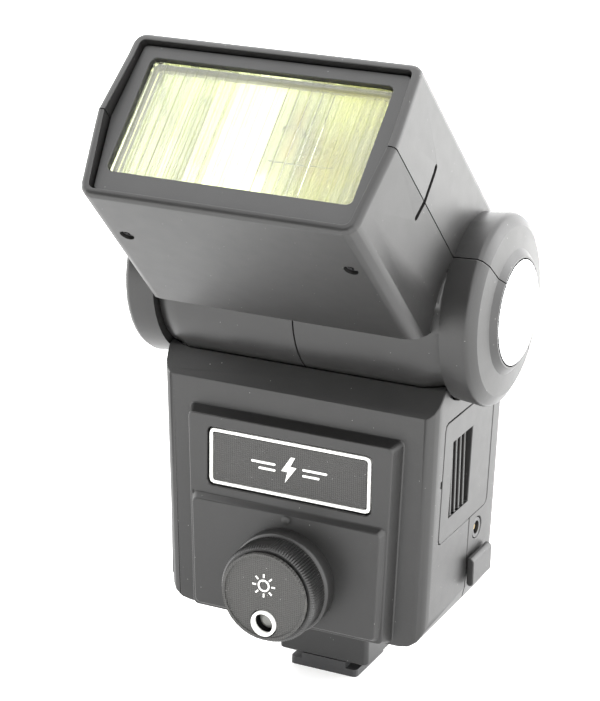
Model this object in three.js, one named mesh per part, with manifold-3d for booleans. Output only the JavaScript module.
// A shoe-mounted electronic flash: housing on a hot-shoe foot, tilting head between two
// side drums, plug-in light sensor with a mode ring, battery door and rear controls.
// Millimetres, +Z up, the lamp faces -Y, origin at the middle of the underside of the foot.
import * as THREE from "three";
import { mergeVertices, toCreasedNormals } from "three/addons/utils/BufferGeometryUtils.js";
import Module from "manifold-3d";

// ---- Driving dimensions -------------------------------------------------------------
const GAP = 0.3; // clearance between neighbouring pieces
const ROUND = 44; // facets on the large rounds about the tilt axis
const HINGE_Y = -8; // tilt axis, parallel to X
const HINGE_Z = 103.5;
const HEAD_TILT = 45; // degrees above the horizontal

// Housing, measured from the tilt axis
const FRONT_Y = -19.5;
const REAR_Y = 26;
const BOTTOM_Z = -82.3;
const HALF_WIDTH = 36.85; // at the top; the sides draw in towards the bottom
const SIDE_TAPER = 0.0322;
const WALL = 2;
const SPLIT_Y = 6.5; // joint between front and rear cover
const CORNER_FRONT = 3.3;
const CORNER_REAR = 4.5;
const BARREL_R = 22.3; // visible hinge barrel
const CORE_R = 18.9; // full round core behind it
const COLLAR_R = 20.4;
const COLLAR_X = 36.9;

// Head, measured from the tilt axis along its own forward and up directions
const HEAD_TOP = 22.5;
const HEAD_ROUND = 22.1; // outer radius of the shell behind the hinge
const HEAD_BOTTOM = -20.9;
const HEAD_SEAM = 0.4;
const HEAD_FRONT = 67.4;
const SEAM_BULGE = 1.5;
const HEAD_TOP_HALF = 35.5; // half-widths at the lamp end
const HEAD_MID_HALF = 36.6;
const HEAD_LOW_HALF = 33.6;
const HEAD_REAR_EDGE = 20.1;
const WINDOW_W = 60;
const WINDOW_H = 30.2;
const WINDOW_UP = 1.8;
const BEZEL_FACE = 66;
const DRUM_IN = 37.2;
const DISC_R = 12.55;

// Sensor module
const EYE_X = 0.6;
const SENSOR_Z = -68.1;
const SENSOR_FACE_Y = -36.9;
const SENSOR_R = 11.1;

// Battery door
const DOOR = { y0: -13.2, y1: 17.5, z0: -56.8, z1: -26 };

// ---- Colours ------------------------------------------------------------------------
const paint = (colour, roughness, metalness = 0) =>
  new THREE.MeshStandardMaterial({ color: colour, roughness, metalness });
const BLACK = paint(0x1b1b1c, 0.6);
const DEEP_BLACK = paint(0x0f0f10, 0.7);
const SATIN_BLACK = paint(0x151516, 0.45);
const WHITE = paint(0xe9e9e6, 0.5);
const SILVER = paint(0xdfe1e3, 0.32, 0.9);
const MIRROR = paint(0xeeeeea, 0.15, 1);
const LENS = paint(0xe6ebb0, 0.12);
const GLASS = paint(0xf2f0d0, 0.1);
const STEEL = paint(0xb4b6b8, 0.35, 1);
const BRASS = paint(0xc3a25a, 0.35, 1);
const COPPER = paint(0xb06a3b, 0.4, 1);
const BOARD = paint(0x2f5a38, 0.6);
const SLEEVE = paint(0x23303f, 0.5);
const CELL = paint(0x8a3b2a, 0.4);
const AMBER = paint(0xd9822b, 0.2);
const GREEN = paint(0x3f9a52, 0.2);
const IVORY = paint(0xc9c3ae, 0.6);

// ---- Points and outlines ------------------------------------------------------------
const rad = (deg) => (deg * Math.PI) / 180;
// A point at radius r about the tilt axis as (y, z), 0 deg forward, 90 deg up.
const aboutHinge = (r, deg) => [-r * Math.cos(rad(deg)), r * Math.sin(rad(deg))];

function arcAboutHinge(r, from, to, steps) {
  const points = [];
  for (let i = 0; i <= steps; i++) points.push(aboutHinge(r, from + ((to - from) * i) / steps));
  return points;
}

function circle(r, cu = 0, cv = 0, steps = 24) {
  const points = [];
  for (let i = 0; i < steps; i++) {
    const a = (2 * Math.PI * i) / steps;
    points.push([cu + r * Math.cos(a), cv + r * Math.sin(a)]);
  }
  return points;
}

// Rounds the corners of a polygon; radii may be one number or one per corner.
function rounded(points, radii, steps = 3) {
  const out = [];
  const n = points.length;
  points.forEach((p, i) => {
    const r = Array.isArray(radii) ? radii[i] : radii;
    const corner = new THREE.Vector2(...p);
    if (!r) {
      out.push(p);
      return;
    }
    const back = new THREE.Vector2(...points[(i + n - 1) % n]).sub(corner).normalize();
    const on = new THREE.Vector2(...points[(i + 1) % n]).sub(corner).normalize();
    const half = Math.acos(THREE.MathUtils.clamp(back.dot(on), -1, 1)) / 2;
    const centre = back.clone().add(on).normalize().multiplyScalar(r / Math.sin(half)).add(corner);
    const start = corner.clone().addScaledVector(back, r / Math.tan(half)).sub(centre);
    const end = corner.clone().addScaledVector(on, r / Math.tan(half)).sub(centre);
    const turn = Math.atan2(start.cross(end), start.dot(end));
    for (let k = 0; k <= steps; k++) {
      const q = start.clone().rotateAround(new THREE.Vector2(), (turn * k) / steps).add(centre);
      out.push([q.x, q.y]);
    }
  });
  return out;
}

function rect(u0, u1, v0, v1, r = 0, steps = 2) {
  const corners = [[u0, v0], [u1, v0], [u1, v1], [u0, v1]];
  return r ? rounded(corners, r, steps) : corners;
}

// ---- Solids -------------------------------------------------------------------------
const wasm = await Module();
wasm.setup();

const TO_X = new THREE.Matrix4().makeBasis(
  new THREE.Vector3(0, 1, 0),
  new THREE.Vector3(0, 0, 1),
  new THREE.Vector3(1, 0, 0),
);
const TO_Y = new THREE.Matrix4().makeBasis(
  new THREE.Vector3(1, 0, 0),
  new THREE.Vector3(0, 0, 1),
  new THREE.Vector3(0, -1, 0),
);

function extrusion(points, depth) {
  const shape = new THREE.Shape(points.map(([u, v]) => new THREE.Vector2(u, v)));
  return new THREE.ExtrudeGeometry(shape, { depth, bevelEnabled: false });
}
// Prisms along one axis: outline in (y, z), (x, z) or (x, y).
const prismX = (points, x0, x1) =>
  extrusion(points, x1 - x0).applyMatrix4(TO_X).translate(x0, 0, 0);
const prismY = (points, y0, y1) =>
  extrusion(points, y1 - y0).applyMatrix4(TO_Y).translate(0, y1, 0);
const prismZ = (points, z0, z1) => extrusion(points, z1 - z0).translate(0, 0, z0);
const block = (x0, x1, y0, y1, z0, z1) => prismZ(rect(x0, x1, y0, y1), z0, z1);

// Turned solids: profile of [distance along the axis, radius].
function turned(axis, profile, segments = 32) {
  const points = profile.map(([along, r]) => new THREE.Vector2(r, along));
  points.push(points[0].clone());
  const geometry = new THREE.LatheGeometry(points, segments);
  if (axis === "x") geometry.rotateZ(-Math.PI / 2);
  if (axis === "z") geometry.rotateX(Math.PI / 2);
  return geometry;
}
const rod = (axis, r, from, to, segments = 24) =>
  turned(axis, [[from, 0], [from, r], [to, r], [to, 0]], segments);

// A closed, outward-facing solid from any of the geometries above.
function solid(source) {
  if (!source.isBufferGeometry) return source;
  const loose = source.index ? source.toNonIndexed() : source;
  const bare = new THREE.BufferGeometry();
  bare.setAttribute("position", loose.getAttribute("position"));
  const merged = mergeVertices(bare, 1e-4);
  const index = merged.index.array;
  const faces = [];
  for (let i = 0; i < index.length; i += 3) {
    const [a, b, c] = [index[i], index[i + 1], index[i + 2]];
    if (a !== b && b !== c && c !== a) faces.push([a, b, c]);
  }
  const build = (list) =>
    new wasm.Manifold(
      new wasm.Mesh({
        numProp: 3,
        vertProperties: Float32Array.from(merged.getAttribute("position").array),
        triVerts: Uint32Array.from(list.flat()),
      }),
    );
  const made = build(faces);
  return made.volume() >= 0 ? made : build(faces.map(([a, b, c]) => [a, c, b]));
}
const join = (...parts) => parts.map(solid).reduce((a, b) => a.add(b));
const common = (...parts) => parts.map(solid).reduce((a, b) => a.intersect(b));
const cut = (base, ...tools) => tools.map(solid).reduce((a, b) => a.subtract(b), solid(base));

function geometryOf(shape) {
  const mesh = solid(shape).getMesh();
  const geometry = new THREE.BufferGeometry();
  geometry.setAttribute("position", new THREE.BufferAttribute(mesh.vertProperties.slice(), 3));
  geometry.setIndex(new THREE.BufferAttribute(mesh.triVerts.slice(), 1));
  return toCreasedNormals(geometry, 0.6);
}

const root = new THREE.Group();
root.name = "speedlight_flash";
const housing = new THREE.Group();
housing.position.set(0, HINGE_Y, HINGE_Z);
const head = new THREE.Group();
head.rotation.x = -rad(HEAD_TILT);
root.add(housing);
housing.add(head);

function piece(group, name, shape, material) {
  const mesh = new THREE.Mesh(geometryOf(shape), material);
  mesh.name = name;
  group.add(mesh);
}

// ---- Housing shell ------------------------------------------------------------------
// Narrows a prism in x with falling z, about the width at the top.
function drawIn(geometry, halfWidth) {
  const position = geometry.getAttribute("position");
  for (let i = 0; i < position.count; i++) {
    const drop = -10 - position.getZ(i);
    position.setX(i, (position.getX(i) * (halfWidth - SIDE_TAPER * drop)) / halfWidth);
  }
  return geometry;
}

// The housing outline inset by t: side view, plan and front view intersected.
function housingForm(t) {
  const side = [
    [FRONT_Y + t, BOTTOM_Z + t],
    [12, BOTTOM_Z + t],
    [18.2 - 0.6 * t, BOTTOM_Z + 1 + t],
    [21.8 - 0.8 * t, BOTTOM_Z + 3.8 + 0.7 * t],
    [23.1 - t, BOTTOM_Z + 8.2],
    [REAR_Y - t, -32],
    [REAR_Y - t, -15.2 - 0.5 * t],
    [REAR_Y - 1.8 - t, -13.2 - t],
    [-6, -13.2 - t],
    [-15.1 + 1.05 * t, -16.75 - 0.4 * t],
    [FRONT_Y + t, -22.9 - 0.35 * t],
  ];
  const plan = rounded(
    [
      [-HALF_WIDTH + t, FRONT_Y + t],
      [HALF_WIDTH - t, FRONT_Y + t],
      [HALF_WIDTH - t, REAR_Y - t],
      [-HALF_WIDTH + t, REAR_Y - t],
    ],
    [CORNER_FRONT, CORNER_FRONT, CORNER_REAR, CORNER_REAR].map((r) => Math.max(r - t, 0.8)),
    4,
  );
  const [low, lowX] = [BOTTOM_Z + t, 34.7 - t];
  const corner = rounded([[0, low], [lowX, low], [lowX, -50]], [0, 6.3 - t, 0], 4).slice(1, -1);
  const opposite = corner.map(([x, z]) => [-x, z]).reverse();
  const front = [...corner, [44, -70], [44, 0], [-44, 0], [-44, -70], ...opposite];
  return common(
    prismX(side, -40, 40),
    drawIn(prismZ(plan, BOTTOM_Z - 1, -10), HALF_WIDTH - t),
    prismY(front, -30, 30),
  );
}

// Where the head's rear shell and the hinge barrel turn inside the housing.
function cradle() {
  const r = BARREL_R + GAP;
  const small = COLLAR_R + GAP;
  const whole = turned("x", [[-38, 0], [-38, small], [-COLLAR_X, small], [-31, r], [31, r],
    [COLLAR_X, small], [38, small], [38, 0]], ROUND);
  const rear = common(rod("x", r, -38, 38, ROUND), block(-40, 40, -12, 40, -40, 40));
  return join(whole, rear);
}

const outer = housingForm(0);
const inner = housingForm(WALL);
const shell = cut(outer, inner, cradle());

// Raised front panel in two steps, each a frustum between two rounded outlines.
const PANEL_ROUND = 1.3;
function frustumY(back, front) {
  const ring = ({ y, top, bottom, halfTop, halfBottom }) => rounded(
    [[-halfBottom, bottom], [halfBottom, bottom], [halfTop, top], [-halfTop, top]],
    PANEL_ROUND,
  ).map(([x, z]) => new THREE.Vector3(x, y, z));
  const [b, f] = [ring(back), ring(front)];
  const triangles = [];
  b.forEach((corner, i) => {
    const j = (i + 1) % b.length;
    triangles.push(corner, f[i], f[j], corner, f[j], b[j]);
    if (i > 0 && j > 0) triangles.push(f[0], f[j], f[i], b[0], corner, b[j]);
  });
  return new THREE.BufferGeometry().setFromPoints(triangles);
}
const PANEL_Y = -23.2;
const STEP_Y = -24.9;
const panel = join(
  frustumY(
    { y: FRONT_Y + 0.5, top: -28.9, bottom: -81.9, halfTop: 28.6, halfBottom: 26.9 },
    { y: PANEL_Y, top: -30.1, bottom: -80.9, halfTop: 27.1, halfBottom: 25.6 },
  ),
  frustumY(
    { y: PANEL_Y + 0.5, top: -50.3, bottom: -80.5, halfTop: 26.1, halfBottom: 25.1 },
    { y: STEP_Y, top: -51.6, bottom: -79.4, halfTop: 25.1, halfBottom: 24.2 },
  ),
  rod("y", 1.1, STEP_Y - 0.7, STEP_Y + 1, 12).translate(EYE_X, 0, -52.6),
);

// Screw bosses joining the covers.
const BOSSES = [[-31, -23.7], [31, -23.7], [-28.4, -76], [28.4, -76]];
const bosses = (y0, y1) => BOSSES.map(([x, z]) => rod("y", 2.2, y0, y1, 16).translate(x, 0, z));
const bossHoles = (r, y0, y1) => BOSSES.map(([x, z]) => rod("y", r, y0, y1, 16).translate(x, 0, z));

const NAME_Z = -40.7;
const namePocket = prismY(rect(-21.9, 21.9, NAME_Z - 7.6, NAME_Z + 7.6, 1.3), -26, PANEL_Y + 1.5);
const socketHole = rod("y", 9.3, -27, -12, 32).translate(EYE_X, 0, SENSOR_Z);
const doorHole = prismX(
  rect(DOOR.y0 - GAP, DOOR.y1 + GAP, DOOR.z0 - GAP, DOOR.z1 + GAP, 1.6), 31.5, 40);

piece(
  housing,
  "front_cover",
  common(
    cut(
      join(cut(join(shell, panel), inner), ...bosses(FRONT_Y + 1, SPLIT_Y)),
      cradle(),
      namePocket,
      socketHole,
      doorHole,
      block(34, 40, DOOR.y0 - 1, DOOR.y0, -41.8, -40.1),
      ...bossHoles(1.1, -6, SPLIT_Y + 1),
    ),
    block(-50, 50, -40, SPLIT_Y - GAP / 2, -90, 0),
  ),
  BLACK,
);

// Pivots of the battery door: a stub at its upper and its lower edge, on one upright axis.
const DOOR_PIVOT = { x: 34.7, y: 13, reach: 1 };
const pivots = (r, extra) => [DOOR.z0, DOOR.z1].map((z) =>
  rod("z", r, z - DOOR_PIVOT.reach - extra, z + DOOR_PIVOT.reach + extra, 16)
    .translate(DOOR_PIVOT.x, DOOR_PIVOT.y, 0));
const SYNC = { y: 12.2, z: -61.7 };
const LAMP_Z = -40;
const SWITCH_Z = -57;
piece(
  housing,
  "rear_cover",
  common(
    cut(
      join(shell, ...bosses(SPLIT_Y, 25.2).map((b) => common(b, outer))),
      cradle(),
      doorHole,
      ...pivots(0.5, GAP),
      rod("x", 2.9, 30, 40, 24).translate(0, SYNC.y, SYNC.z),
      block(31, 40, 8.2, 15.8, -73.4, -69.2),
      rod("y", 2.7, 15, 30).translate(-13, 0, LAMP_Z),
      rod("y", 1.9, 15, 30, 20).translate(0, 0, LAMP_Z),
      rod("y", 3.4, 15, 30).translate(13, 0, LAMP_Z),
      prismY(rect(-8.5, 8.5, SWITCH_Z - 3.3, SWITCH_Z + 3.3, 0.8), 23.2, 30),
      block(-6, 6, 15, 30, SWITCH_Z - 1.3, SWITCH_Z + 1.3),
      ...bossHoles(1.1, 0, 30),
      ...bossHoles(1.75, 20.4, 30).slice(2),
      ...bossHoles(1.75, 23.4, 30).slice(0, 2),
    ),
    block(-50, 50, SPLIT_Y + GAP / 2, 40, -90, 0),
  ),
  BLACK,
);

function screw(axis, tip, seat, top) {
  const profile = [[tip, 0], [tip, 0.8], [seat, 0.8], [seat, 1.4], [top, 1.4], [top, 0]];
  const depth = top + (seat - top) / 2;
  const [low, high] = [Math.min(top, depth), Math.max(top, depth)];
  const lift = Math.sign(top - seat);
  const slots = [[1.0, 0.22], [0.22, 1.0]].map(([u, v]) =>
    axis === "y"
      ? block(-u, u, low - Math.max(-lift, 0), high + Math.max(lift, 0), -v, v)
      : block(-u, u, -v, v, low - Math.max(-lift, 0), high + Math.max(lift, 0)),
  );
  return cut(turned(axis, profile, 16), ...slots);
}
function placed(shape, x, y, z) {
  return geometryOf(shape).translate(x, y, z);
}
BOSSES.forEach(([x, z], i) => {
  const seat = z > -50 ? 23.7 : 20.7;
  piece(housing, `body_screw_${i + 1}`, placed(screw("y", -3, seat, seat + 1.2), x, 0, z), STEEL);
});

// ---- Hinge barrel -------------------------------------------------------------------
const APRON = { low: -53.5, high: 48 };
const wedge = (r, from, to, x0, x1) =>
  prismX([[0, 0], ...arcAboutHinge(r, from, to, 12)], Math.min(x0, x1), Math.max(x0, x1));
for (const [name, s] of [["left", -1], ["right", 1]]) {
  const x = GAP / 2;
  const along = (profile) => profile.map(([a, r]) => [s * a, r]);
  const core = turned("x", along([[x, 16.6], [x, CORE_R], [COLLAR_X, CORE_R], [COLLAR_X, 9.1],
    [39.6, 9.1], [39.6, 11], [41.2, 11], [41.2, 6.4], [35, 6.4], [35, 16.6]]), ROUND);
  const apron = common(
    turned("x", along([[x, 18], [x, BARREL_R], [31, BARREL_R], [COLLAR_X, COLLAR_R],
      [COLLAR_X, 18]]), ROUND),
    wedge(40, APRON.low, APRON.high, -50, 50),
  );
  const relief = cut(wedge(40, 15, 80, s * 33.5, s * 50), rod("x", CORE_R, -60, 60, ROUND));
  piece(housing, `hinge_barrel_${name}`, join(core, cut(apron, relief)), BLACK);
}

// Detent plate on the right trunnion, notched for the head's stops.
function detentOutline() {
  const stops = [0, 45, 60, 75, 90].map((tilt) => 100 + tilt);
  const points = [];
  for (let deg = 0; deg < 360; deg += deg < 80 || deg > 210 ? 10 : 5) {
    const notch = stops.some((stop) => Math.abs(stop - deg) < 1);
    points.push(aboutHinge(notch ? 13.2 : 14, deg));
  }
  return points;
}
piece(
  housing,
  "detent_plate",
  cut(prismX(detentOutline(), 41.5, 42.5), rod("x", 6.4, 40, 44)),
  STEEL,
);

// ---- Nameplate ----------------------------------------------------------------------
const PLATE_BACK = PANEL_Y + 1.2;
piece(
  housing,
  "nameplate",
  prismY(rect(-20.4, 20.4, NAME_Z - 6.1, NAME_Z + 6.1, 0.6), -22.6, PLATE_BACK),
  DEEP_BLACK,
);
piece(
  housing,
  "nameplate_frame",
  cut(
    prismY(rect(-21.45, 21.45, NAME_Z - 7.15, NAME_Z + 7.15, 1.2), -22.8, PLATE_BACK),
    prismY(rect(-20.7, 20.7, NAME_Z - 6.4, NAME_Z + 6.4, 0.7), -25, 0),
  ),
  WHITE,
);

// ---- Foot ---------------------------------------------------------------------------
const FOOT_TOP = BOTTOM_Z - GAP;
const FOOT_LOW = -99.5;
const footY = -HINGE_Y; // middle of the foot, seen from the tilt axis
piece(
  housing,
  "foot_block",
  cut(
    prismZ(rect(-12.4, 12.4, footY - 9.5, footY + 11.5, 1.2), FOOT_LOW, FOOT_TOP),
    block(-7, 7, footY - 5, footY + 7, FOOT_TOP - 6, FOOT_TOP + 1),
  ),
  DEEP_BLACK,
);
const PIN_Y = footY - 3;
const SOLE = -HINGE_Z;
piece(
  housing,
  "shoe_foot",
  cut(
    join(
      prismZ(rect(-9.3, 9.3, footY - 9, footY + 9, 1), SOLE, SOLE + 2),
      block(-6.2, 6.2, footY - 9, footY + 9, SOLE + 1, FOOT_LOW - GAP),
    ),
    rod("z", 1.3, SOLE - 1, SOLE + 2.4, 20).translate(0, PIN_Y, 0),
  ),
  SATIN_BLACK,
);
piece(
  housing,
  "contact_pin",
  rod("z", 1, SOLE + 0.1, SOLE + 2.1, 20).translate(0, PIN_Y, 0),
  BRASS,
);

// ---- Sockets on the right side ------------------------------------------------------
piece(
  housing,
  "sync_socket",
  turned("x", [[29, 0], [29, 2.6], [35, 2.6], [35, 1.7], [30.5, 1.7], [30.5, 0]], 24)
    .translate(0, SYNC.y, SYNC.z),
  STEEL,
);
piece(
  housing,
  "sync_pin",
  rod("x", 0.7, 30.8, 34.4, 12).translate(0, SYNC.y, SYNC.z),
  BRASS,
);
piece(
  housing,
  "ac_socket",
  cut(
    block(29.6, 34.2, 8.5, 15.5, -73.1, -69.5),
    ...[10.2, 13.8].map((y) => rod("x", 0.8, 31, 40, 12).translate(0, y, -71.3)),
  ),
  DEEP_BLACK,
);
const FLAP = { x: 36.3, r: 0.9, z0: -74.2, z1: -67.6, y0: 5.9, y1: 18.1 };
const flapOutline = [[FLAP.x - FLAP.r, FLAP.z1], [FLAP.x - FLAP.r, FLAP.z0]];
for (let i = 1; i <= 6; i++) {
  const a = rad(180 + 30 * i);
  flapOutline.push([FLAP.x + FLAP.r * Math.cos(a), FLAP.z0 + FLAP.r * Math.sin(a)]);
}
flapOutline.push([FLAP.x + FLAP.r, FLAP.z1 - 0.7], [FLAP.x + FLAP.r - 0.7, FLAP.z1]);
piece(housing, "socket_flap", prismY(flapOutline, FLAP.y0, FLAP.y1), BLACK);

// ---- Battery door with its ribbed grip ----------------------------------------------
const GRIP = { y0: -7.9, y1: 4.4, z0: -51.7, z1: -32 };
const RIBS = 4;
const RIB_W = 0.9;
const slotW = (GRIP.y1 - GRIP.y0 - RIBS * RIB_W) / (RIBS + 1);
const slots = [];
for (let i = 0; i <= RIBS; i++) {
  const y = GRIP.y0 + i * (slotW + RIB_W);
  slots.push(block(33.9, 40, y, y + slotW, GRIP.z0, GRIP.z1));
}
const doorPlate = common(
  cut(outer, inner),
  prismX(rect(DOOR.y0, DOOR.y1, DOOR.z0, DOOR.z1, 1.4), 30, 40),
);
const gripPad = prismX(
  rect(GRIP.y0 - 1.4, GRIP.y1 + 1.4, GRIP.z0 - 1.3, GRIP.z1 + 1.3, 1), 32.4, 35.2);
piece(
  housing,
  "battery_door",
  join(
    cut(
      join(doorPlate, gripPad),
      block(35.1, 40, GRIP.y0, GRIP.y1, GRIP.z0, GRIP.z1),
      ...slots,
    ),
    ...pivots(0.35, 0),
  ),
  BLACK,
);

// ---- Inside the housing -------------------------------------------------------------
const CELL_R = 7.15;
const CELL_ROWS = [[-4.9, -34], [9.7, -34], [-4.9, -48.8], [9.7, -48.8]];
piece(
  housing,
  "battery_clip",
  join(
    block(-25, -23.3, -12.6, 17, -56.2, -26.6),
    block(28.2, 29.9, -12.6, 17, -56.2, -26.6),
    block(-24, 29, 1.7, 2.7, -42.6, -40.2),
    block(-24, 29, -12.6, -12.2, -56.2, -26.6),
  ),
  SATIN_BLACK,
);
CELL_ROWS.forEach(([y, z], i) => {
  const s = i % 2 ? -1 : 1;
  const profile = [[-25.1, 0], [-25.1, CELL_R], [23.9, CELL_R], [23.9, 2.7], [25.1, 2.7], [25.1, 0]];
  const cell = turned("x", profile.map(([a, r]) => [s * a, r]), 24);
  piece(housing, `battery_cell_${i + 1}`, cell.translate(2.45, y, z), CELL);
});
piece(
  housing,
  "battery_contact_plate",
  block(-26.8, -25.6, -11, 15, -55, -27.5),
  BRASS,
);
piece(housing, "circuit_board", block(-29, 29, -15.8, -14.3, -73, -28), BOARD);
piece(
  housing,
  "main_capacitor",
  turned("x", [[-25, 0], [-25, 9.6], [-24.4, 10.1], [13, 10.1], [13.6, 9.6], [13.6, 0]], 32)
    .translate(0, 6, -69.8),
  SLEEVE,
);
piece(housing, "transformer", block(15.5, 25.4, -11, 4, -79.5, -61), COPPER);
piece(housing, "thyristor", block(-26, -15, -13.5, -8.5, -79, -64), SATIN_BLACK);

// ---- Rear controls ------------------------------------------------------------------
const domed = (r, y0, y1) => turned("y", [[y0, 0], [y0, r], [y1 - 0.5, r], [y1, r * 0.6], [y1, 0]]);
piece(housing, "ready_light_lens", domed(2.4, 21.5, 26).translate(-13, 0, LAMP_Z), AMBER);
piece(housing, "check_light_lens", domed(1.6, 21.5, 25.8).translate(0, 0, LAMP_Z), GREEN);
piece(housing, "test_button", domed(3.1, 21.8, 26.9).translate(13, 0, LAMP_Z), SATIN_BLACK);
const thumbRibs = [-1.8, 0, 1.8].map((dx) =>
  block(-4 + dx - 0.35, -4 + dx + 0.35, 24.8, 25.5, SWITCH_Z - 2.5, SWITCH_Z + 2.5),
);
piece(
  housing,
  "power_switch",
  join(
    block(-8, 0, 23.5, 24.9, SWITCH_Z - 2.9, SWITCH_Z + 2.9),
    block(-5.5, -2.5, 20.5, 24, SWITCH_Z - 0.95, SWITCH_Z + 0.95),
    ...thumbRibs,
  ),
  SATIN_BLACK,
);

// ---- Sensor module ------------------------------------------------------------------
const PLUG_W = 11.4;
const PLUG_H = 4.4;
const EYE_Z = SENSOR_Z - 6.9;
const atSensor = (geometry) => geometry.translate(EYE_X, 0, SENSOR_Z);
const plugBlock = (w, h, y0, y1) =>
  block(EYE_X - w / 2, EYE_X + w / 2, y0, y1, SENSOR_Z - h / 2, SENSOR_Z + h / 2);
piece(
  housing,
  "sensor_socket",
  cut(atSensor(rod("y", 9, -22.9, -16.9, 32)), plugBlock(PLUG_W + 0.6, PLUG_H + 0.6, -25, -18.4)),
  DEEP_BLACK,
);
piece(
  housing,
  "sensor_body",
  cut(
    join(
      atSensor(rod("y", 10.8, -35.5, STEP_Y - 0.4, 40)),
      plugBlock(PLUG_W, PLUG_H, STEP_Y - 1, -18.8),
    ),
    rod("y", 3.5, -40, -32, 20).translate(EYE_X, 0, EYE_Z),
  ),
  DEEP_BLACK,
);
piece(
  housing,
  "sensor_face",
  cut(
    atSensor(rod("y", SENSOR_R, SENSOR_FACE_Y, -35.8, 36)),
    rod("y", 3.6, -40, -30, 20).translate(EYE_X, 0, EYE_Z),
    atSensor(rod("y", SENSOR_R - 0.7, -40, SENSOR_FACE_Y + 0.25, 36)),
  ),
  SATIN_BLACK,
);
const ringProfile = [[-37.1, 2.6], [-37.1, 3.25], [-35.3, 3.25], [-35.3, 2.6]];
piece(
  housing,
  "eye_ring",
  turned("y", ringProfile, 28).translate(EYE_X, 0, EYE_Z),
  WHITE,
);
piece(
  housing,
  "eye_lens",
  turned("y", [[-34.6, 0], [-34.4, 1.4], [-33.8, 2.3], [-32.3, 2.3], [-32.3, 0]], 24)
    .translate(EYE_X, 0, EYE_Z),
  GLASS,
);
const TEETH = 40;
function knurl(rOut, rIn) {
  const points = [];
  for (let i = 0; i < 2 * TEETH; i++) {
    const a = (Math.PI * i) / TEETH;
    const r = i % 2 ? rIn : rOut;
    points.push([EYE_X + r * Math.cos(a), SENSOR_Z + r * Math.sin(a)]);
  }
  return points;
}
piece(
  housing,
  "mode_ring",
  cut(
    join(
      prismY(knurl(12.5, 12.1), -35.4, -28.5),
      prismY(circle(13, EYE_X, SENSOR_Z, 40), -29, STEP_Y - 0.4),
    ),
    atSensor(rod("y", SENSOR_R, -40, -20, 36)),
  ),
  BLACK,
);

// ---- Head shells --------------------------------------------------------------------
// Six-sided section of the head, inset by t, widening towards the hinge.
const FLARE = { top: 0.00075, mid: 0.00048, low: 0.0006 }; // per mm, at each pair of corners
function headSection(t, y0, y1) {
  const [top, low] = [HEAD_TOP - t, HEAD_BOTTOM + t];
  const [topHalf, midHalf, lowHalf] = [HEAD_TOP_HALF, HEAD_MID_HALF, HEAD_LOW_HALF].map((w) => w - t);
  const outline = rounded(
    [
      [-topHalf, top], [-midHalf, HEAD_SEAM], [-lowHalf, low],
      [lowHalf, low], [midHalf, HEAD_SEAM], [topHalf, top],
    ],
    [2.8, 0, 3.6, 3.6, 0, 2.8].map((r) => (r ? Math.max(r - t, 1.2) : 0)),
  );
  const geometry = prismY(outline, y0, y1);
  const position = geometry.getAttribute("position");
  for (let i = 0; i < position.count; i++) {
    const back = HEAD_FRONT + position.getY(i);
    const rise = position.getZ(i) - HEAD_SEAM;
    const [edge, span] = rise > 0 ? [FLARE.top, top - HEAD_SEAM] : [FLARE.low, low - HEAD_SEAM];
    const flare = THREE.MathUtils.lerp(FLARE.mid, edge, rise / span);
    position.setX(i, position.getX(i) * (1 + flare * back));
  }
  return geometry;
}

const REAR_END = 211; // where the shell behind the hinge stops
const outerSide = [
  [-HEAD_REAR_EDGE, HEAD_BOTTOM],
  [-HEAD_FRONT, HEAD_BOTTOM],
  [-HEAD_FRONT - SEAM_BULGE, HEAD_SEAM],
  [-HEAD_FRONT, HEAD_TOP],
  ...arcAboutHinge(HEAD_ROUND, 90, REAR_END, 14),
  [0, 0],
];
const innerSide = [
  [-HEAD_REAR_EDGE - WALL, HEAD_BOTTOM + WALL], [-75, HEAD_BOTTOM + WALL], [-75, HEAD_TOP - WALL],
  [0, HEAD_TOP - WALL], [0, 0], [-HEAD_REAR_EDGE - WALL, 0],
];
const INNER_R = CORE_R + 0.4;
function drum(s) {
  const profile = [
    [DRUM_IN, 9.4], [DRUM_IN, 22.4], [43.3, 23.1], [44.6, 22.5], [45.8, 20.3], [46.6, 15],
    [47.9, 13.3], [47.9, 12.9], [46.6, 12.9], [46.6, 0], [44.9, 0], [44.2, 15.5], [43, 20.8],
    [39.2, 20.4], [39.2, 9.4],
  ];
  return turned("x", profile.map(([x, r]) => [s * x, r]), ROUND);
}
// Ring joining the shell to each drum: full depth over the top and the back, a thin lip
// over the barrel's tapered collar in front.
function drumRoot(s) {
  const ring = (profile, from, to) => common(
    turned("x", profile.map(([x, r]) => [s * x, r]), ROUND),
    wedge(40, from, to, -60, 60),
  );
  return join(
    ring([[33.5, INNER_R], [33.5, BARREL_R], [38, BARREL_R], [38, INNER_R]], 50, 209),
    ring([[33.8, 21.75], [33.8, BARREL_R], [38, BARREL_R], [38, COLLAR_R + 0.4],
      [COLLAR_X, COLLAR_R + 0.4]], -46, 51),
  );
}
const SWEEP_END = DRUM_IN - 0.05;
const collarSweep = [[-SWEEP_END, 0], [-SWEEP_END, COLLAR_R + 0.4], [-31.3, BARREL_R + 0.5],
  [31.3, BARREL_R + 0.5], [SWEEP_END, COLLAR_R + 0.4], [SWEEP_END, 0]];
const sweep = join(
  common(turned("x", collarSweep, ROUND), join(
    wedge(40, -60, 48, -60, 60),
    wedge(40, -142, -58, -60, 60),
  )),
  rod("x", INNER_R, -SWEEP_END, SWEEP_END, ROUND),
);
const SCREW_X = 27.8;
const SCREW_Y = -50.6;
const headBosses = [-1, 1].map((s) =>
  rod("z", 2.4, HEAD_BOTTOM + 1, HEAD_TOP - 1, 16).translate(s * SCREW_X, SCREW_Y, 0),
);
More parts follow.
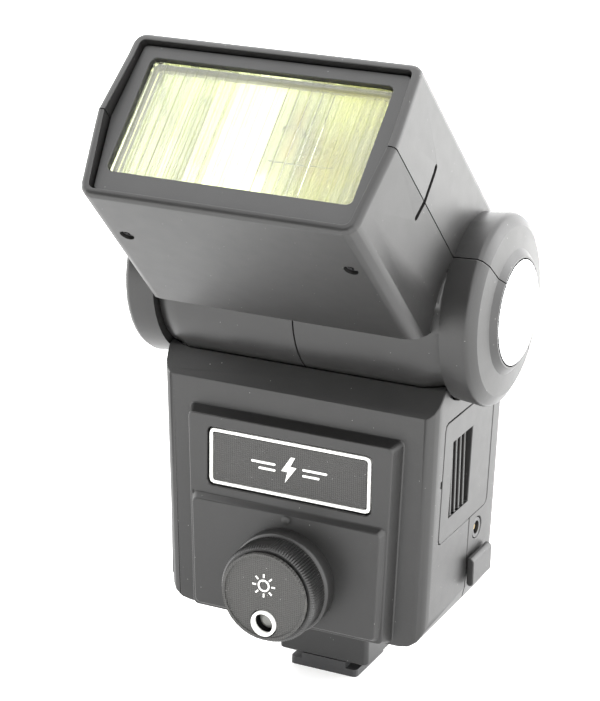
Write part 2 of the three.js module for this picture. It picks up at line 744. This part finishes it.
const headHoles = [-1, 1].flatMap((s) => [
  rod("z", 1.1, -30, 8, 16).translate(s * SCREW_X, SCREW_Y, 0),
  rod("z", 1.75, -30, HEAD_BOTTOM + 2.2, 20).translate(s * SCREW_X, SCREW_Y, 0),
]);
const seatSection = headSection(2.2, -90, -63);
const accessorySlot = [-42, 32].map((x) => prismX(rect(-47.2, -45.9, -4.4, 10.2, 0.6), x, x + 10));
const headShell = cut(
  join(
    cut(
      join(
        cut(common(prismX(outerSide, -39, 39), headSection(0, -90, 30)),
          common(prismX(innerSide, -39, 39), headSection(WALL, -90, 30))),
        ...headBosses,
      ),
      seatSection,
      sweep,
    ),
    drumRoot(-1), drumRoot(1), drum(-1), drum(1),
  ),
  rod("x", 9.4, -39.3, 39.3),
  ...headHoles,
  ...accessorySlot,
);
const above = block(-60, 60, -90, 40, HEAD_SEAM + GAP / 2, 60);
const below = block(-60, 60, -90, 40, -60, HEAD_SEAM - GAP / 2);
piece(head, "head_top_shell", common(headShell, above), BLACK);
piece(head, "head_bottom_shell", common(headShell, below), BLACK);
[["left", -1], ["right", 1]].forEach(([name, s]) => {
  const made = placed(screw("z", 4, HEAD_BOTTOM + 1.9, HEAD_BOTTOM + 0.7), s * SCREW_X, SCREW_Y, 0);
  piece(head, `head_screw_${name}`, made, STEEL);
});

// ---- Lamp window --------------------------------------------------------------------
const windowRect = (dw, dh, r) => rect(-WINDOW_W / 2 + dw, WINDOW_W / 2 - dw,
  WINDOW_UP - WINDOW_H / 2 + dh, WINDOW_UP + WINDOW_H / 2 - dh, r);
piece(
  head,
  "lens_bezel",
  cut(
    headSection(2.5, -BEZEL_FACE, -63.3),
    prismY(windowRect(0, 0, 1.4), -70, -60),
  ),
  DEEP_BLACK,
);
function ribbedPlate() {
  const points = [[-30.8, -63], [30.8, -63]];
  const ribs = 20;
  for (let i = ribs; i > 0; i--) {
    const x = -30.8 + (61.6 * i) / ribs;
    points.push([x, -61.9], [x - 61.6 / ribs + 0.01, -61.2]);
  }
  return prismZ(points, WINDOW_UP - 15.5, WINDOW_UP + 15.5);
}
piece(
  head,
  "fresnel_lens",
  join(ribbedPlate(), prismY(windowRect(0.3, 0.3, 1.2), -64.7, -62.5)),
  LENS,
);

// Parabolic trough around an upright tube.
const TROUGH = { back: -37, front: -60.9, half: 28.5, low: WINDOW_UP - 13.6, high: WINDOW_UP + 13.6 };
function trough(grow) {
  const points = [];
  for (let i = -8; i <= 8; i++) {
    const u = i / 8;
    const y = TROUGH.back + grow + (TROUGH.front - TROUGH.back - grow) * u * u;
    points.push([u * (TROUGH.half + grow), y]);
  }
  return points;
}
const troughInside = join(
  prismZ(trough(0), TROUGH.low, TROUGH.high),
  block(-TROUGH.half, TROUGH.half, -62, TROUGH.front, TROUGH.low, TROUGH.high),
);
piece(
  head,
  "reflector",
  cut(
    prismZ(trough(0.8), TROUGH.low - 0.8, TROUGH.high + 0.8),
    troughInside,
    rod("z", 3, -30, 30, 20).translate(0, -41.5, 0),
  ),
  MIRROR,
);
piece(
  head,
  "flash_tube",
  rod("z", 2.3, WINDOW_UP - 14.4, WINDOW_UP + 14.4, 20).translate(0, -41.5, 0),
  GLASS,
);
const caps = [
  ["tube_cap_lower", WINDOW_UP - 17.4, WINDOW_UP - 14.7],
  ["tube_cap_upper", WINDOW_UP + 14.7, WINDOW_UP + 17.4],
];
for (const [name, z0, z1] of caps) {
  piece(head, name, rod("z", 2.6, z0, z1, 20).translate(0, -41.5, 0), STEEL);
}
piece(head, "trigger_coil", rod("x", 3.4, 12, 25, 20).translate(0, -31.5, 4), COPPER);

// ---- Drum covers --------------------------------------------------------------------
piece(
  head,
  "side_disc_right",
  turned("x", [[46.9, 0], [46.9, DISC_R], [48, DISC_R], [48.25, DISC_R - 0.35], [48.25, 0]], 40),
  SILVER,
);
piece(
  head,
  "dial_scale_left",
  turned("x", [[-46.9, 2.3], [-46.9, DISC_R], [-48, DISC_R], [-48, 2.3]], 40),
  IVORY,
);
function dialOutline() {
  const points = [];
  for (let i = 0; i < 60; i++) {
    const a = rad(6 * i);
    const r = i % 2 ? 9.5 : 9.1;
    points.push([r * Math.cos(a), r * Math.sin(a)]);
  }
  return points;
}
piece(
  head,
  "calculator_dial",
  cut(prismX(dialOutline(), -49.7, -48.3), rod("x", 2.3, -52, -45, 20)),
  SATIN_BLACK,
);
piece(head, "dial_hub", rod("x", 2, -50.1, -46.9, 20), SILVER);
piece(
  head,
  "detent_spring",
  prismX(
    [aboutHinge(14.3, 100), aboutHinge(15.6, 95), aboutHinge(19.6, 94), aboutHinge(19.6, 106),
      aboutHinge(15.6, 105)],
    41.3, 42.6,
  ),
  STEEL,
);

export default root;
